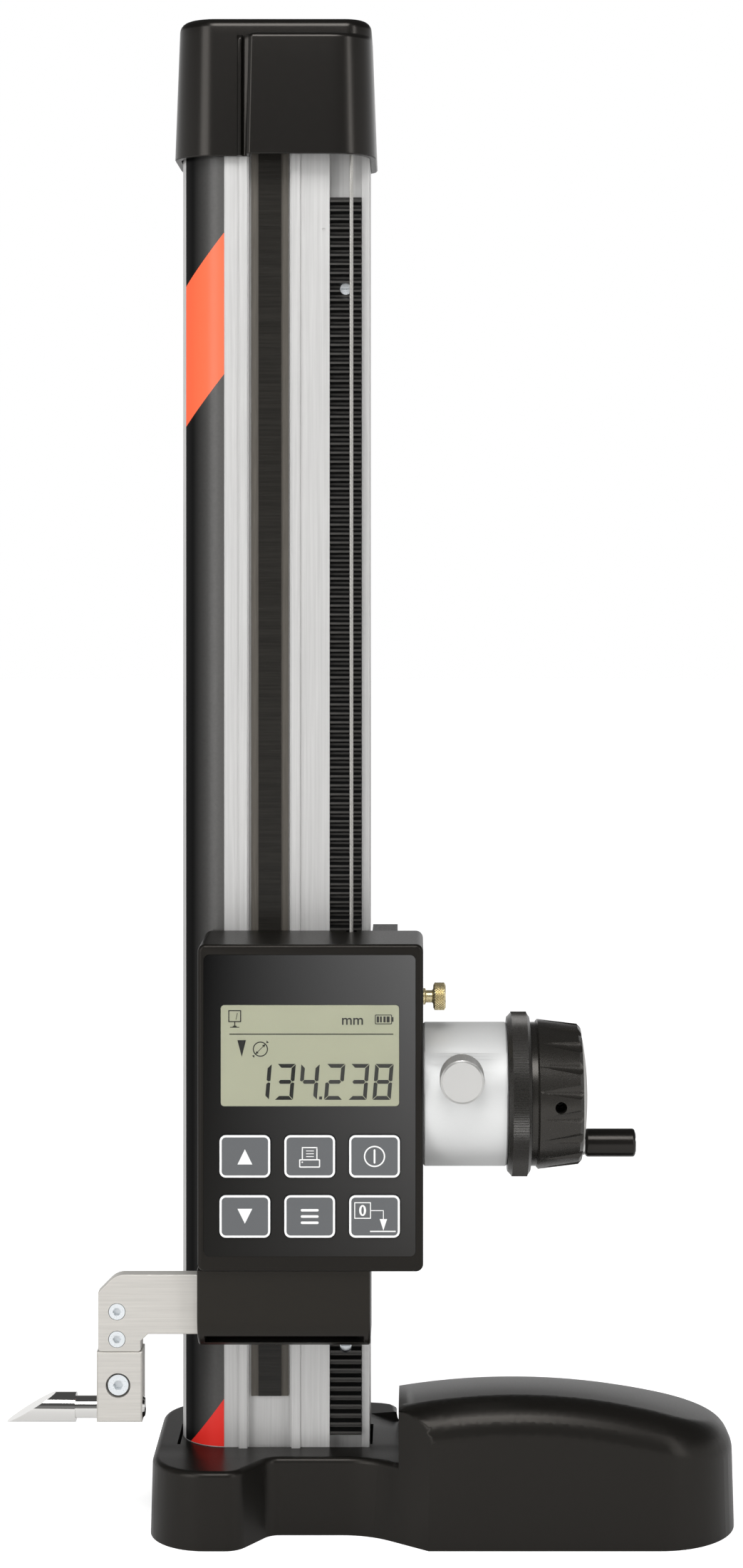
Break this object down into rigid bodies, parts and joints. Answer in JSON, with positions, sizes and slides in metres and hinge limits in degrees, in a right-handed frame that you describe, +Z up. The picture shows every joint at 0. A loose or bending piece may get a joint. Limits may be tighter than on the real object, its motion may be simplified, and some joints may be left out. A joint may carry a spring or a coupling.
{
  "type": "height gauge",
  "caption": "Digital height gauge: cast base with a palm rest, metal column with a rack, counterbalanced carriage with display, handwheel and measuring arm.",
  "frame": {"origin": "on the base's underside, below the middle of the column", "axes": "+Z up along the column, -Y the front with the display, +X the handwheel side"},
  "size_m": [0.2508, 0.0996, 0.5258],
  "materials": {
    "base_paint": "semi-gloss black paint on cast iron",
    "column_metal": "brushed along its length",
    "foil": "satin printed foil",
    "black_steel": "blackened steel",
    "steel": "turned steel",
    "scale_metal": "satin",
    "scale_glass": "polished, with a fine grating",
    "cap_plastic": "gloss black",
    "pulley_metal": "turned",
    "wire": "twisted strands",
    "weight_iron": "bare cast iron",
    "carriage_metal": "grey painted casting",
    "pad_plastic": "smooth acetal",
    "housing_plastic": "fine-grained black",
    "panel": "gloss with a grey gradient",
    "window": "clear",
    "lcd": "grey-green display",
    "board": "solder mask",
    "switch": "moulded",
    "battery": "nickel-plated",
    "key": "grey, printed",
    "cover": "fine-grained black",
    "arm_steel": "ground stainless steel",
    "insert_steel": "lapped",
    "bronze": "sintered bronze",
    "sleeve_metal": "satin anodised",
    "ring_metal": "black anodised",
    "wheel_plastic": "satin black",
    "cover_grey": "satin light grey",
    "brass": "turned"
  },
  "bodies": {
    "stand": {"base_casting": "base_paint", "column_profile": "column_metal", "column_foil": "foil", "rack": "black_steel", "rack_screws": "black_steel", "scale_carrier": "scale_metal", "scale_glass": "scale_glass", "top_cap": "cap_plastic", "cap_screws": "black_steel", "pulley_bracket": "steel", "bracket_screws": "steel", "pulley_axle": "steel", "column_screws": "black_steel", "wire_front": "wire", "wire_over_pulley": "wire", "wire_back": "wire"},
    "carriage": {"carriage_body": "carriage_metal", "guide_pads": "pad_plastic", "side_guides": "pad_plastic", "read_head": "switch", "wire_anchor": "steel", "housing_shell": "housing_plastic", "housing_screws": "steel", "front_panel": "panel", "lcd_window": "window", "lcd_module": "lcd", "circuit_board": "board", "key_switches": "switch", "battery_cell": "battery", "lower_cover": "cover", "measuring_arm": "arm_steel", "arm_screws": "steel", "clamp_bolts": "steel", "holder_block": "arm_steel", "clamp_screw": "steel", "measuring_insert": "insert_steel", "drive_bushes": "bronze", "drive_sleeve": "sleeve_metal", "sleeve_screws": "steel"},
    "counterweight": {"counterweight": "weight_iron", "wire_ferrule": "steel"},
    "pulley": {"pulley": "pulley_metal"},
    "drive": {"drive_shaft": "steel", "pinion": "steel", "handwheel": "wheel_plastic", "wheel_cover": "cover_grey", "wheel_grub_screw": "black_steel", "crank_pin": "steel"},
    "crank_grip": {"crank_grip": "cap_plastic"},
    "fine_ring": {"fine_ring": "ring_metal"},
    "lock_knob": {"lock_knob": "steel"},
    "thumb_screw": {"thumb_screw": "brass"},
    "key_up": {"key_up": "key"},
    "key_print": {"key_print": "key"},
    "key_power": {"key_power": "key"},
    "key_down": {"key_down": "key"},
    "key_function": {"key_function": "key"},
    "key_zero": {"key_zero": "key"}
  },
  "joints": [
    {"name": "carriage_slide", "type": "slide", "parent": "stand", "child": "carriage", "axis": [0, 0, 1], "range_m": [-0.04, 0.268], "deforming": ["wire_front"]},
    {"name": "counterweight_slide", "type": "slide", "parent": "stand", "child": "counterweight", "axis": [0, 0, 1], "range_m": [-0.269, 0.041], "deforming": ["wire_back"]},
    {"name": "pulley_spin", "type": "hinge", "parent": "stand", "child": "pulley", "pos_m": [0.0205, -0.01075, 0.504], "axis": [0.9041, 0.4274, 0], "range_deg": [-1015, 155]},
    {"name": "handwheel_spin", "type": "hinge", "parent": "carriage", "child": "drive", "pos_m": [0.0987, -0.02912, 0.1517], "axis": [1, 0, 0], "range_deg": [-1712, 260]},
    {"name": "crank_grip_spin", "type": "hinge", "parent": "drive", "child": "crank_grip", "pos_m": [0.1167, -0.02912, 0.1347], "axis": [1, 0, 0], "continuous": true},
    {"name": "fine_ring_spin", "type": "hinge", "parent": "carriage", "child": "fine_ring", "pos_m": [0.0848, -0.02912, 0.1517], "axis": [1, 0, 0], "continuous": true},
    {"name": "lock_knob_turn", "type": "hinge", "parent": "carriage", "child": "lock_knob", "pos_m": [0.0649, -0.06, 0.1627], "axis": [0, 1, 0], "range_deg": [-90, 150]},
    {"name": "thumb_screw_turn", "type": "hinge", "parent": "carriage", "child": "thumb_screw", "pos_m": [0.0575, -0.039, 0.187], "axis": [-1, 0, 0], "range_deg": [-180, 180]},
    {"name": "key_up_press", "type": "slide", "parent": "carriage", "child": "key_up", "axis": [0, 1, 0], "range_m": [0, 0.00035], "stiffness_N_per_m": 2000, "springref_m": -0.0003},
    {"name": "key_print_press", "type": "slide", "parent": "carriage", "child": "key_print", "axis": [0, 1, 0], "range_m": [0, 0.00035], "stiffness_N_per_m": 2000, "springref_m": -0.0003},
    {"name": "key_power_press", "type": "slide", "parent": "carriage", "child": "key_power", "axis": [0, 1, 0], "range_m": [0, 0.00035], "stiffness_N_per_m": 2000, "springref_m": -0.0003},
    {"name": "key_down_press", "type": "slide", "parent": "carriage", "child": "key_down", "axis": [0, 1, 0], "range_m": [0, 0.00035], "stiffness_N_per_m": 2000, "springref_m": -0.0003},
    {"name": "key_function_press", "type": "slide", "parent": "carriage", "child": "key_function", "axis": [0, 1, 0], "range_m": [0, 0.00035], "stiffness_N_per_m": 2000, "springref_m": -0.0003},
    {"name": "key_zero_press", "type": "slide", "parent": "carriage", "child": "key_zero", "axis": [0, 1, 0], "range_m": [0, 0.00035], "stiffness_N_per_m": 2000, "springref_m": -0.0003}
  ],
  "couplings": [
    {"joint": "counterweight_slide", "follows": "carriage_slide", "ratio": -1},
    {"joint": "pulley_spin", "follows": "carriage_slide", "rad_per_m": -65.751},
    {"joint": "handwheel_spin", "follows": "carriage_slide", "rad_per_m": -111.11}
  ]
}
